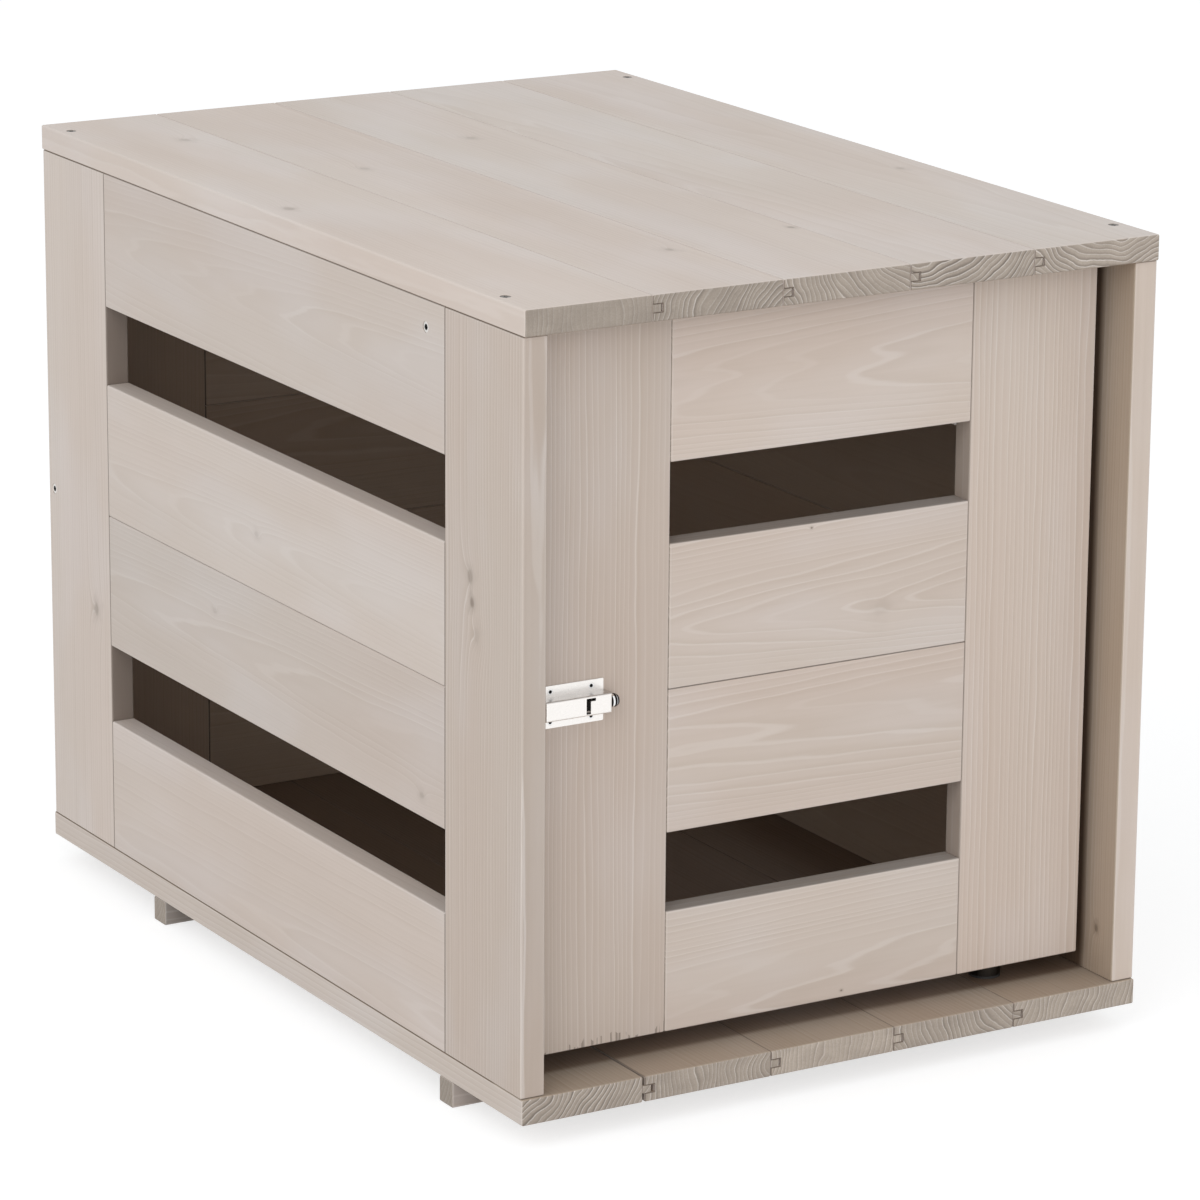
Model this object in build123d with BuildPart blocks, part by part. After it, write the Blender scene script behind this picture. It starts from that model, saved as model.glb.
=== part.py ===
from build123d import *
import os

# A slatted wooden dog house with a pivoting door and a slide bolt.
# Millimetres. X runs to the right, Y to the back, Z up. The origin is under the middle.

# Whole house
house_width = 600.0
house_depth = 875.0
house_height = 690.0
board_thickness = 22.0
edge_ease = 1.5

# Feet, two battens across the house
foot_height = 22.0
foot_width = 22.0
front_foot_setback = 115.0
back_foot_setback = 208.0

# Floor and roof, five boards each
first_board_width = 114.5
middle_board_width = 120.4
middle_board_count = 3
open_floor_joint = 2.0

# Tongues and grooves
tongue_depth = 7.5
tongue_thickness = 6.0
groove_spare_depth = 1.5
groove_clearance = 0.2

# Side walls
side_wall_setback = 2.5
side_post_width = 125.0
side_board_width = 120.5

# Back wall
back_post_width = 127.0
back_board_count = 5

# Batten under the roof, which the open door comes to rest against
roof_batten_setback = 147.6
roof_batten_width = 22.0
roof_batten_height = 45.0

# Door
door_setback = 38.0
door_left_gap = 10.5
door_right_gap = 12.0
door_bottom_gap = 19.0
door_top_gap = 8.0
door_stile_width = 123.0
door_bottom_board_width = 103.5
door_middle_board_width = 121.0
door_slot_height = 67.0

# Pivot shaft on the back of the door, and its two bushes
shaft_diameter = 27.0
shaft_from_right = 104.0
journal_diameter = 12.0
journal_length = 12.0
running_clearance = 0.05
shoulder_gap = 0.3
bush_diameter = 20.0
bush_length = 14.0
bush_flange_diameter = 27.0
bush_flange_thickness = 2.0
bush_hole_spare_depth = 0.5

# Slide bolt
plate_length = 60.0
plate_height = 35.0
plate_thickness = 1.2
plate_corner = 1.0
plate_inset = 1.7
plate_screw_spacing_x = 37.6
plate_screw_spacing_z = 25.2
housing_length = 61.5
housing_height = 16.5
housing_stand_off = 13.5
housing_edge = 2.0
bolt_diameter = 11.4
bolt_clearance = 0.1
bolt_front_reach = 8.5
bolt_back_reach = 10.0
bolt_nose_chamfer = 1.5
housing_slot_width = 4.0
housing_slot_height = 13.0
housing_slot_from_end = 20.0
housing_notch_length = 4.5
housing_notch_height = 2.5
bolt_hole_clearance = 1.0
bolt_hole_depth = 9.0

# Dowels
dowel_diameter = 8.0
dowel_length = 40.0
dowel_inset = 30.0
dowel_clearance = 0.05
dowel_end_space = 1.0

# Screws
screw_head_diameter = 9.0
screw_shank_diameter = 4.4
long_screw = 60.0
wall_screw = 50.0
batten_screw = 36.0
shaft_screw = 38.0
plate_screw_head_diameter = 4.6
plate_screw_shank_diameter = 2.6
plate_screw = 16.0
screw_clearance = 0.1
screw_sink = 0.4
shaft_screw_sink = 1.6
recess_depth = 1.2
rim_per_head = 0.05
taper_per_shank = 1.2
recess_per_head = 0.55
corner_screw_from_front = 50.0
corner_screw_from_back = 40.0
shaft_screw_count = 3

os.makedirs("parts", exist_ok=True)

# Levels and faces worked out from the sizes above
left = -house_width / 2
right = house_width / 2
front = -house_depth / 2
back = house_depth / 2
floor_bottom = foot_height
floor_top = floor_bottom + board_thickness
roof_top = house_height
roof_bottom = roof_top - board_thickness
wall_height = roof_bottom - floor_top
wall_front = front + side_wall_setback
wall_back = back - side_wall_setback
left_inside = left + board_thickness
right_inside = right - board_thickness
wall_middle = (floor_top + roof_bottom) / 2


def fill_block(low, high, mode=Mode.ADD):
    """A square block between two opposite corners."""
    middle = tuple((a + b) / 2 for a, b in zip(low, high))
    with Locations(middle):
        Box(*[b - a for a, b in zip(low, high)], mode=mode)


def edge_strip(low, high, axis, start, depth, thickness):
    """Two corners of a strip that runs along a board at mid thickness, from start along axis."""
    size = [b - a for a, b in zip(low, high)]
    across = size.index(min(size))
    strip_low, strip_high = list(low), list(high)
    strip_low[across] = (low[across] + high[across] - thickness) / 2
    strip_high[across] = (low[across] + high[across] + thickness) / 2
    strip_low[axis] = start
    strip_high[axis] = start + depth
    return strip_low, strip_high


def planed_board(low, high, joint_axis=None, tongue=False, groove=False):
    """A board between two opposite corners, its edges eased.

    A tongue stands on its high edge along joint_axis, and a groove is cut in its low edge.
    """
    with BuildPart() as board:
        with BuildSketch(Plane.XY.offset(low[2])):
            with Locations(((low[0] + high[0]) / 2, (low[1] + high[1]) / 2)):
                Rectangle(high[0] - low[0], high[1] - low[1])
        extrude(amount=high[2] - low[2])
        fillet(board.edges(), radius=edge_ease)
        if tongue:
            fill_block(*edge_strip(low, high, joint_axis, high[joint_axis], tongue_depth, tongue_thickness))
        if groove:
            groove_depth = tongue_depth + groove_spare_depth
            groove_width = tongue_thickness + 2 * groove_clearance
            fill_block(
                *edge_strip(low, high, joint_axis, low[joint_axis], groove_depth, groove_width),
                mode=Mode.SUBTRACT,
            )
    return board.part


def bored(piece, holes):
    """The piece with its holes taken out, or the piece itself when it has none."""
    with BuildPart() as work:
        add(piece)
        for hole in holes:
            add(hole, mode=Mode.SUBTRACT)
    return work.part


def save(piece, name):
    """Label a finished piece and write it to its own file."""
    piece.label = name
    export_step(piece, f"parts/{name}.step")


# Fasteners


def screw_outline(head_diameter, shank_diameter, length, clearance, top):
    """Half the section of a countersunk screw, its head's top at zero and its tip below."""
    head = head_diameter / 2 + clearance
    shank = shank_diameter / 2 + clearance
    rim = rim_per_head * head_diameter + clearance
    cone_end = rim + (head_diameter - shank_diameter) / 2
    taper = taper_per_shank * shank_diameter
    with BuildSketch(Plane.XZ) as outline:
        with BuildLine():
            Polyline(
                (0, top),
                (head, top),
                (head, -rim),
                (shank, -cone_end),
                (shank, taper - length),
                (0, -length - clearance),
                close=True,
            )
        make_face()
    return outline.sketch


def screw(head_diameter, shank_diameter, length):
    """A countersunk screw with a cross recess, pointing down from the origin."""
    with BuildPart() as body:
        revolve(screw_outline(head_diameter, shank_diameter, length, 0, 0), Axis.Z)
        arm = recess_per_head * head_diameter
        with BuildSketch(Plane.XY):
            Rectangle(arm, arm / 4)
            Rectangle(arm / 4, arm)
        extrude(amount=-recess_depth, mode=Mode.SUBTRACT)
    return body.part


def screw_hole(head_diameter, shank_diameter, length):
    """The space that a screw takes up, open above its head."""
    with BuildPart() as space:
        revolve(
            screw_outline(head_diameter, shank_diameter, length, screw_clearance, board_thickness / 2),
            Axis.Z,
        )
    return space.part


def placed(piece, planes):
    """Copies of one piece, one on each plane, as a group of separate solids."""
    with BuildPart() as group:
        with Locations(*planes):
            add(piece)
    return group.part


def facing(point, direction):
    """A plane at a point, facing one way."""
    return Plane(origin=point, z_dir=direction)


def dowel(radius, length):
    """A round bar along Z, centred on the origin."""
    with BuildPart() as bar:
        Cylinder(radius, length)
    return bar.part


dowel_bar = dowel(dowel_diameter / 2, dowel_length)
dowel_space = dowel(dowel_diameter / 2 + dowel_clearance, dowel_length + 2 * dowel_end_space)
long_screw_bar = screw(screw_head_diameter, screw_shank_diameter, long_screw)
long_screw_space = screw_hole(screw_head_diameter, screw_shank_diameter, long_screw)
wall_screw_bar = screw(screw_head_diameter, screw_shank_diameter, wall_screw)
wall_screw_space = screw_hole(screw_head_diameter, screw_shank_diameter, wall_screw)
batten_screw_bar = screw(screw_head_diameter, screw_shank_diameter, batten_screw)
batten_screw_space = screw_hole(screw_head_diameter, screw_shank_diameter, batten_screw)
shaft_screw_bar = screw(screw_head_diameter, screw_shank_diameter, shaft_screw)
shaft_screw_space = screw_hole(screw_head_diameter, screw_shank_diameter, shaft_screw)
plate_screw_bar = screw(plate_screw_head_diameter, plate_screw_shank_diameter, plate_screw)
plate_screw_space = screw_hole(plate_screw_head_diameter, plate_screw_shank_diameter, plate_screw)

# Places of the boards that run from front to back in the floor and the roof
board_edges = [left, left + first_board_width]
for _ in range(middle_board_count):
    board_edges.append(board_edges[-1] + middle_board_width)
board_edges.append(right)
board_middles = [(a + b) / 2 for a, b in zip(board_edges, board_edges[1:])]

# Feet
foot_spans = {
    "front_foot": front + front_foot_setback,
    "back_foot": back - back_foot_setback - foot_width,
}
foot_screw_places = [
    facing((x, y + foot_width / 2, screw_sink), (0, 0, -1))
    for y in foot_spans.values()
    for x in board_middles
]

# Screws at the four corners, up through the floor and down through the roof into the posts
corner_points = [
    (x, y)
    for x in (left + board_thickness / 2, right - board_thickness / 2)
    for y in (front + corner_screw_from_front, back - corner_screw_from_back)
]
roof_screw_places = [facing((x, y, roof_top - screw_sink), (0, 0, 1)) for x, y in corner_points]
base_screw_places = [facing((x, y, floor_bottom + screw_sink), (0, 0, -1)) for x, y in corner_points]

# Roof batten, screwed up into each roof board and held through the side walls
roof_batten_front = front + roof_batten_setback
roof_batten_bottom = roof_bottom - roof_batten_height
roof_batten_y = roof_batten_front + roof_batten_width / 2
roof_batten_screw_places = [
    facing((x, roof_batten_y, roof_batten_bottom + screw_sink), (0, 0, -1)) for x in board_middles
]

# Screws through the side walls, into the back wall's posts and the roof batten's ends
back_wall_front = wall_back - board_thickness
wall_screw_points = [
    (wall_back - board_thickness / 2, wall_middle),
    (roof_batten_y, roof_bottom - roof_batten_height / 2),
]
wall_screw_places = [
    facing((side * (house_width / 2 - screw_sink), y, z), (side, 0, 0))
    for side in (-1, 1)
    for y, z in wall_screw_points
]

# Door
door_front = front + door_setback
door_back = door_front + board_thickness
door_left = left_inside + door_left_gap
door_right = right_inside - door_right_gap
door_bottom = floor_top + door_bottom_gap
door_top = roof_bottom - door_top_gap

# Pivot
pivot_x = right - shaft_from_right
pivot_y = door_back + shaft_diameter / 2
shaft_bottom = floor_top + bush_flange_thickness + shoulder_gap
shaft_top = roof_bottom - bush_flange_thickness - shoulder_gap

# Bolt
plate_left = door_left + plate_inset
plate_front = door_front - plate_thickness
housing_front = plate_front - housing_stand_off
housing_left = plate_left - (housing_length - plate_length) / 2
housing_right = housing_left + housing_length
bolt_y = plate_front - housing_stand_off / 2
bolt_z = wall_middle
bolt_tip = door_left - bolt_front_reach
bolt_end = housing_right + bolt_back_reach
bolt_hole_radius = bolt_diameter / 2 + bolt_hole_clearance


def holes_at(space, places):
    """The spaces that one kind of fastener takes up, ready to be cut from a piece."""
    return [placed(space, places)]


roof_screw_holes = holes_at(long_screw_space, roof_screw_places)
base_screw_holes = holes_at(long_screw_space, base_screw_places)
wall_screw_holes = holes_at(wall_screw_space, wall_screw_places)
roof_batten_screw_holes = holes_at(long_screw_space, roof_batten_screw_places)
foot_screw_holes = holes_at(batten_screw_space, foot_screw_places)

# Holes for the two bushes
with BuildPart() as bush_holes:
    bush_hole_depth = bush_length + bush_hole_spare_depth
    for level, direction in ((floor_top, -1), (roof_bottom, 1)):
        with BuildSketch(Plane.XY.offset(level)):
            with Locations((pivot_x, pivot_y)):
                Circle(bush_diameter / 2 + running_clearance)
        extrude(amount=direction * bush_hole_depth)


# Floor and roof boards
def make_deck(name, bottom, holes, first_gap):
    """Five boards side by side, tongued on the right and grooved on the left."""
    for number, (low_x, high_x) in enumerate(zip(board_edges, board_edges[1:]), start=1):
        gap = first_gap if number == 1 else 0
        board = planed_board(
            (low_x, front, bottom),
            (high_x - gap, back, bottom + board_thickness),
            joint_axis=0,
            tongue=number < len(board_middles),
            groove=number > 1,
        )
        save(bored(board, holes), f"{name}_board_{number}")


make_deck("base", floor_bottom, base_screw_holes + foot_screw_holes + [bush_holes.part], open_floor_joint)
make_deck("roof", roof_bottom, roof_screw_holes + roof_batten_screw_holes + [bush_holes.part], 0)

# Feet
for name, foot_front in foot_spans.items():
    foot = planed_board((left, foot_front, 0), (right, foot_front + foot_width, foot_height))
    save(bored(foot, foot_screw_holes), name)

# Roof batten
roof_batten = planed_board(
    (left_inside, roof_batten_front, roof_batten_bottom),
    (right_inside, roof_batten_front + roof_batten_width, roof_bottom),
)
save(bored(roof_batten, roof_batten_screw_holes + wall_screw_holes), "roof_batten")


def dowel_places(ends, spans, direction):
    """Planes for two dowels at each end of each board; ends are (x, y) points, spans are heights."""
    return [
        facing((x, y, z), direction)
        for x, y in ends
        for low, high in spans
        for z in (low + dowel_inset, high - dowel_inset)
    ]


# Heights of the four boards in a side wall, with a slot below and above the middle pair
side_slot_height = (wall_height - 4 * side_board_width) / 2
lower_middle_bottom = floor_top + side_board_width + side_slot_height
side_spans = {
    "bottom": (floor_top, floor_top + side_board_width),
    "lower_middle": (lower_middle_bottom, lower_middle_bottom + side_board_width),
    "upper_middle": (lower_middle_bottom + side_board_width, lower_middle_bottom + 2 * side_board_width),
    "top": (roof_bottom - side_board_width, roof_bottom),
}
side_board_front = wall_front + side_post_width
side_board_back = wall_back - side_post_width

# Blind hole in the left front post, which the bolt shoots into
with BuildPart() as bolt_hole:
    with BuildSketch(Plane.YZ.offset(left_inside)):
        with Locations((bolt_y, bolt_z)):
            Circle(bolt_hole_radius)
    extrude(amount=-bolt_hole_depth)


# Side walls
def make_side_wall(name, outer, inner, post_holes):
    """Two posts with four boards doweled between them; outer and inner are the two faces in X."""
    low_x, high_x = min(outer, inner), max(outer, inner)
    middle_x = (low_x + high_x) / 2
    ends = [(middle_x, side_board_front), (middle_x, side_board_back)]
    places = dowel_places(ends, side_spans.values(), (0, 1, 0))
    dowel_holes = holes_at(dowel_space, places)
    posts = {"front": (wall_front, side_board_front), "back": (side_board_back, wall_back)}
    for end, (low_y, high_y) in posts.items():
        post = planed_board((low_x, low_y, floor_top), (high_x, high_y, roof_bottom))
        holes = dowel_holes + post_holes + roof_screw_holes + base_screw_holes + wall_screw_holes
        save(bored(post, holes), f"{name}_wall_{end}_post")
    for level, (low_z, high_z) in side_spans.items():
        board = planed_board(
            (low_x, side_board_front, low_z),
            (high_x, side_board_back, high_z),
            joint_axis=2,
            tongue=level == "lower_middle",
            groove=level == "upper_middle",
        )
        save(bored(board, dowel_holes + wall_screw_holes), f"{name}_wall_{level}_board")
    save(placed(dowel_bar, places), f"{name}_wall_dowels")


make_side_wall("left", left, left_inside, [bolt_hole.part])
make_side_wall("right", right, right_inside, [])

# Back wall, closed, between the side walls
back_board_height = wall_height / back_board_count
back_board_left = left_inside + back_post_width
back_board_right = right_inside - back_post_width
back_spans = [
    (floor_top + number * back_board_height, floor_top + (number + 1) * back_board_height)
    for number in range(back_board_count)
]
back_middle = back_wall_front + board_thickness / 2
back_dowel_places = dowel_places(
    [(back_board_left, back_middle), (back_board_right, back_middle)], back_spans, (1, 0, 0)
)
back_dowel_holes = holes_at(dowel_space, back_dowel_places)
back_posts = {"left": (left_inside, back_board_left), "right": (back_board_right, right_inside)}
for side, (low_x, high_x) in back_posts.items():
    post = planed_board((low_x, back_wall_front, floor_top), (high_x, wall_back, roof_bottom))
    save(bored(post, back_dowel_holes + wall_screw_holes), f"back_wall_{side}_post")
for number, (low_z, high_z) in enumerate(back_spans, start=1):
    board = planed_board(
        (back_board_left, back_wall_front, low_z),
        (back_board_right, wall_back, high_z),
        joint_axis=2,
        tongue=number < back_board_count,
        groove=number > 1,
    )
    save(bored(board, back_dowel_holes), f"back_wall_board_{number}")
save(placed(dowel_bar, back_dowel_places), "back_wall_dowels")

# Screws of the house
save(placed(long_screw_bar, roof_screw_places), "roof_screws")
save(placed(long_screw_bar, base_screw_places), "base_screws")
save(placed(wall_screw_bar, wall_screw_places), "wall_screws")
save(placed(long_screw_bar, roof_batten_screw_places), "roof_batten_screws")
save(placed(batten_screw_bar, foot_screw_places), "foot_screws")

# Door boards, with a slot below and above the middle pair
door_lower_slot = door_bottom + door_bottom_board_width
door_middle_bottom = door_lower_slot + door_slot_height
door_middle_joint = door_middle_bottom + door_middle_board_width
door_middle_top = door_middle_joint + door_middle_board_width
door_spans = {
    "bottom": (door_bottom, door_lower_slot),
    "lower_middle": (door_middle_bottom, door_middle_joint),
    "upper_middle": (door_middle_joint, door_middle_top),
    "top": (door_middle_top + door_slot_height, door_top),
}
door_board_left = door_left + door_stile_width
door_board_right = door_right - door_stile_width
door_middle = (door_front + door_back) / 2
door_dowel_places = dowel_places(
    [(door_board_left, door_middle), (door_board_right, door_middle)], door_spans.values(), (1, 0, 0)
)
door_dowel_holes = holes_at(dowel_space, door_dowel_places)

# Screws that hold the shaft to the door, from behind
shaft_screw_step = (door_top - door_bottom) / shaft_screw_count
shaft_screw_y = pivot_y + shaft_diameter / 2 - shaft_screw_sink
shaft_screw_places = [
    facing((pivot_x, shaft_screw_y, door_bottom + (number + 0.5) * shaft_screw_step), (0, 1, 0))
    for number in range(shaft_screw_count)
]
shaft_screw_holes = holes_at(shaft_screw_space, shaft_screw_places)

# Screws that hold the bolt's plate to the door
plate_middle_x = plate_left + plate_length / 2
plate_screw_places = [
    facing((plate_middle_x + dx, plate_front, bolt_z + dz), (0, -1, 0))
    for dx in (-plate_screw_spacing_x / 2, plate_screw_spacing_x / 2)
    for dz in (-plate_screw_spacing_z / 2, plate_screw_spacing_z / 2)
]
plate_screw_holes = holes_at(plate_screw_space, plate_screw_places)

door_stiles = {"left": (door_left, door_board_left), "right": (door_board_right, door_right)}
for side, (low_x, high_x) in door_stiles.items():
    stile = planed_board((low_x, door_front, door_bottom), (high_x, door_back, door_top))
    holes = door_dowel_holes + shaft_screw_holes + plate_screw_holes
    save(bored(stile, holes), f"door_{side}_stile")
for level, (low_z, high_z) in door_spans.items():
    board = planed_board(
        (door_board_left, door_front, low_z),
        (door_board_right, door_back, high_z),
        joint_axis=2,
        tongue=level == "lower_middle",
        groove=level == "upper_middle",
    )
    save(bored(board, door_dowel_holes), f"door_{level}_board")
save(placed(dowel_bar, door_dowel_places), "door_dowels")

# Pivot shaft, turned down to a journal at each end
with BuildPart() as pivot_shaft:
    with BuildSketch(Plane.XY.offset(shaft_bottom)):
        with Locations((pivot_x, pivot_y)):
            Circle(shaft_diameter / 2)
    extrude(amount=shaft_top - shaft_bottom)
    with BuildSketch(Plane.XY.offset(shaft_bottom - shoulder_gap - journal_length)):
        with Locations((pivot_x, pivot_y)):
            Circle(journal_diameter / 2)
    extrude(amount=shaft_top - shaft_bottom + 2 * (shoulder_gap + journal_length))
    add(shaft_screw_holes, mode=Mode.SUBTRACT)
save(pivot_shaft.part, "pivot_shaft")
save(placed(shaft_screw_bar, shaft_screw_places), "pivot_screws")


# Flanged bushes
def pivot_bush(seat, into):
    """A flanged bush in the board at seat; into is -1 for the floor and 1 for the roof."""
    with BuildPart() as bush:
        with BuildSketch(Plane.XY.offset(seat)):
            with Locations((pivot_x, pivot_y)):
                Circle(bush_diameter / 2)
        extrude(amount=into * bush_length)
        with BuildSketch(Plane.XY.offset(seat)):
            with Locations((pivot_x, pivot_y)):
                Circle(bush_flange_diameter / 2)
        extrude(amount=-into * bush_flange_thickness)
        with BuildSketch(Plane.XY.offset(seat - into * bush_flange_thickness)):
            with Locations((pivot_x, pivot_y)):
                Circle(journal_diameter / 2 + running_clearance)
        extrude(amount=into * (bush_flange_thickness + bush_length), mode=Mode.SUBTRACT)
    return bush.part


save(pivot_bush(floor_top, -1), "floor_pivot_bush")
save(pivot_bush(roof_bottom, 1), "roof_pivot_bush")

# Bolt plate
with BuildPart() as latch_plate:
    with BuildSketch(Plane.XZ.offset(-door_front)):
        with Locations((plate_middle_x, bolt_z)):
            RectangleRounded(plate_length, plate_height, plate_corner)
    extrude(amount=plate_thickness)
    add(plate_screw_holes, mode=Mode.SUBTRACT)
save(latch_plate.part, "latch_plate")
save(placed(plate_screw_bar, plate_screw_places), "latch_screws")

# Bolt housing, a box with a round bore, a slot in its front and a notch at the slot's top
with BuildPart() as latch_housing:
    with BuildSketch(Plane.YZ.offset(housing_left)):
        with Locations((bolt_y, bolt_z)):
            Rectangle(housing_stand_off, housing_height)
    extrude(amount=housing_length)
    front_edges = latch_housing.faces().sort_by(Axis.Y)[0].edges()
    fillet(front_edges, radius=housing_edge)
    with BuildSketch(Plane.YZ.offset(housing_left)):
        with Locations((bolt_y, bolt_z)):
            Circle(bolt_diameter / 2 + bolt_clearance)
    extrude(amount=housing_length, mode=Mode.SUBTRACT)
    slot_right = housing_right - housing_slot_from_end
    slot_left = slot_right - housing_slot_width
    slot_top = bolt_z + housing_slot_height / 2
    fill_block(
        (slot_left, housing_front, bolt_z - housing_slot_height / 2),
        (slot_right, bolt_y, slot_top),
        mode=Mode.SUBTRACT,
    )
    fill_block(
        (slot_right, housing_front, slot_top - housing_notch_height),
        (slot_right + housing_notch_length, bolt_y, slot_top),
        mode=Mode.SUBTRACT,
    )
save(latch_housing.part, "latch_housing")

# Bolt, a round bar with a chamfered nose and a domed end for the thumb
with BuildPart() as latch_bolt:
    with BuildSketch(Plane.XY.offset(bolt_z)):
        with BuildLine():
            radius = bolt_diameter / 2
            dome_start = (bolt_end - radius, bolt_y + radius)
            nose_corner = (bolt_tip + bolt_nose_chamfer, bolt_y + radius)
            nose = (bolt_tip, bolt_y + radius - bolt_nose_chamfer)
            Polyline((bolt_end, bolt_y), (bolt_tip, bolt_y), nose, nose_corner, dome_start)
            RadiusArc(dome_start, (bolt_end, bolt_y), radius)
        make_face()
    revolve(axis=Axis((0, bolt_y, bolt_z), (1, 0, 0)))
save(latch_bolt.part, "latch_bolt")
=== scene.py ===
import math
import random

import bpy
from mathutils import Matrix, Vector


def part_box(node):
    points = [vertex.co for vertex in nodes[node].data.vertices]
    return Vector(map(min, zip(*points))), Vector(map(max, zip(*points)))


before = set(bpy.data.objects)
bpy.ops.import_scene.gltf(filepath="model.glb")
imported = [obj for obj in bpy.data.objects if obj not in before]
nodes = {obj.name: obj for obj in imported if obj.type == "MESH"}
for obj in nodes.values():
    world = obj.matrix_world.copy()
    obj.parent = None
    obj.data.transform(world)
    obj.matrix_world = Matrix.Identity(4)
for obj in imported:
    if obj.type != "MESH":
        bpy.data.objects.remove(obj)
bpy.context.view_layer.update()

# Directions in the house
SIDEWAYS = (1.0, 0.0, 0.0)
FRONT_TO_BACK = (0.0, 1.0, 0.0)
UPRIGHT = (0.0, 0.0, 1.0)

# Finishes, as linear colours
WHITEWASH = (0.580, 0.508, 0.454, 1.0)
BARE_PINE = (0.40, 0.315, 0.24, 1.0)
END_WASH = (0.44, 0.375, 0.315, 1.0)
END_DARK = (0.20, 0.165, 0.135, 1.0)
KNOT_BROWN = (0.20, 0.155, 0.12, 1.0)
WASH_LINE = (0.68, 0.62, 0.57, 1.0)
JOINT_DARK = (0.11, 0.08, 0.06, 1.0)
# Painted shade for the faces that look into the house behind the door: the cabin, the gap beside
# the door and the cabin's floor
CABIN_PAINTED_SHADE = (0.67, 0.58, 0.49, 1.0)
DOOR_GAP_PAINTED_SHADE = (0.20, 0.15, 0.11, 1.0)
CABIN_DECK_PAINTED_SHADE = (0.36, 0.285, 0.225, 1.0)
COOL_TINT = (1.03, 1.055, 1.09, 1.0)
WARM_TINT = (1.0, 0.972, 0.965, 1.0)
ZINC = (0.90, 0.87, 0.84, 1.0)
ZINC_PAINTED_DARK_TOP = (0.60, 0.59, 0.58, 1.0)
SCREW_STEEL = (0.22, 0.21, 0.20, 1.0)
SHAFT_BLACK = (0.05, 0.045, 0.04, 1.0)
BUSH_BLACK = (0.03, 0.03, 0.03, 1.0)
BEECH = (0.50, 0.36, 0.22, 1.0)
SCREW_RIM = (0.72, 0.70, 0.67, 1.0)
CHROME_LIGHT = (0.90, 0.90, 0.90, 1.0)
# Painted dark: the dark reflection and shade painted on the bolt, and the shade painted in the
# middle of the screw heads
CHROME_PAINTED_DARK = (0.012, 0.011, 0.010, 1.0)
# Painted shade for the faces that look into the house in front of the door: the posts' reveals and
# the deck
REVEAL_PAINTED_SHADE = (0.655, 0.61, 0.54, 1.0)
DECK_PAINTED_SHADE = (0.66, 0.60, 0.52, 1.0)
WHITE = (1.0, 1.0, 1.0, 1.0)

# Sizes in metres of what is drawn on the wood
LIGHTER_EDGE = (0.0025, 0.0006)  # how far from the edge it starts and is full
JOINT_LINE = (0.0013, 0.0002)  # how far from the joint it starts and is full
GROOVE_DEPTH = 0.0098
GROOVE_HALF_HEIGHT = 0.0040
BOARD_SIDE_LINE = 0.0008
CHECK_LENGTH = (0.002, 0.010)  # the shortest and the longest

# How quickly each noise changes along, across and through a board, per metre
KNOT_EDGE = (60.0, 90.0, 0.0)
RING_SWAY = (1.6, 9.0, 9.0)
RING_WOBBLE = (7.0, 60.0, 60.0)
RING_SPACING = (0.5, 28.0, 28.0)
FIBRES = (5.0, 420.0, 420.0)
THIN_WASH = (3.5, 14.0, 14.0)
WARM_DRIFT = (1.6, 7.0, 7.0)
COOL_PATCHES = (5.0, 13.0, 13.0)
END_PORES = (300.0, 900.0, 900.0)
END_BLOTCHES = (0.0, 40.0, 70.0)
CHECK_LINES = (14.0, 330.0, 0.0)
CHECK_ENDS = (0.0, 110.0, 0.0)
BRUSHING = (300.0, 1500.0, 1500.0)

# Where the porch in front of the door ends and the painted shade of the cabin starts, and where
# that painted shade is full
door_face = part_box("door_left_stile")[0][1]
CABIN_SHADE_STARTS = door_face + 0.004
CABIN_SHADE_FULL = door_face + 0.014


# Node helpers


def shader_group(name, inputs, outputs):
    """An empty node group with named sockets; returns its tree, its inputs and its outputs."""
    tree = bpy.data.node_groups.new(name, "ShaderNodeTree")
    for label, value in inputs.items():
        kind = "Float"
        if isinstance(value, tuple):
            kind = "Vector" if len(value) == 3 else "Color"
        socket = tree.interface.new_socket(label, in_out="INPUT", socket_type=f"NodeSocket{kind}")
        socket.default_value = value
    for label, kind in outputs.items():
        tree.interface.new_socket(label, in_out="OUTPUT", socket_type=f"NodeSocket{kind}")
    given = tree.nodes.new("NodeGroupInput").outputs
    result = tree.nodes.new("NodeGroupOutput").inputs
    return tree, given, result


def node(tree, kind, inputs=None, **settings):
    """Add a shader node; inputs are values, or other nodes' outputs, by socket."""
    made = tree.nodes.new(f"ShaderNode{kind}")
    for setting, value in settings.items():
        setattr(made, setting, value)
    for socket, value in (inputs or {}).items():
        if isinstance(value, bpy.types.NodeSocket):
            tree.links.new(value, made.inputs[socket])
        else:
            made.inputs[socket].default_value = value
    return made


def placed(tree, group, inputs):
    """Place a shared group in a material with its own values; returns its outputs."""
    return node(tree, "Group", inputs, node_tree=group).outputs


def calc(tree, operation, *values):
    """One sum with numbers."""
    return node(tree, "Math", dict(enumerate(values)), operation=operation).outputs[0]


def vector(tree, operation, *values):
    """One sum with vectors that gives a vector."""
    return node(tree, "VectorMath", dict(enumerate(values)), operation=operation).outputs["Vector"]


def measure(tree, operation, *values):
    """One sum with vectors that gives a number."""
    return node(tree, "VectorMath", dict(enumerate(values)), operation=operation).outputs["Value"]


def split(tree, value):
    """The three numbers of a vector."""
    return node(tree, "SeparateXYZ", {0: value}).outputs


def joined(tree, *values):
    """A vector of up to three numbers."""
    return node(tree, "CombineXYZ", dict(enumerate(values))).outputs[0]


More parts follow.
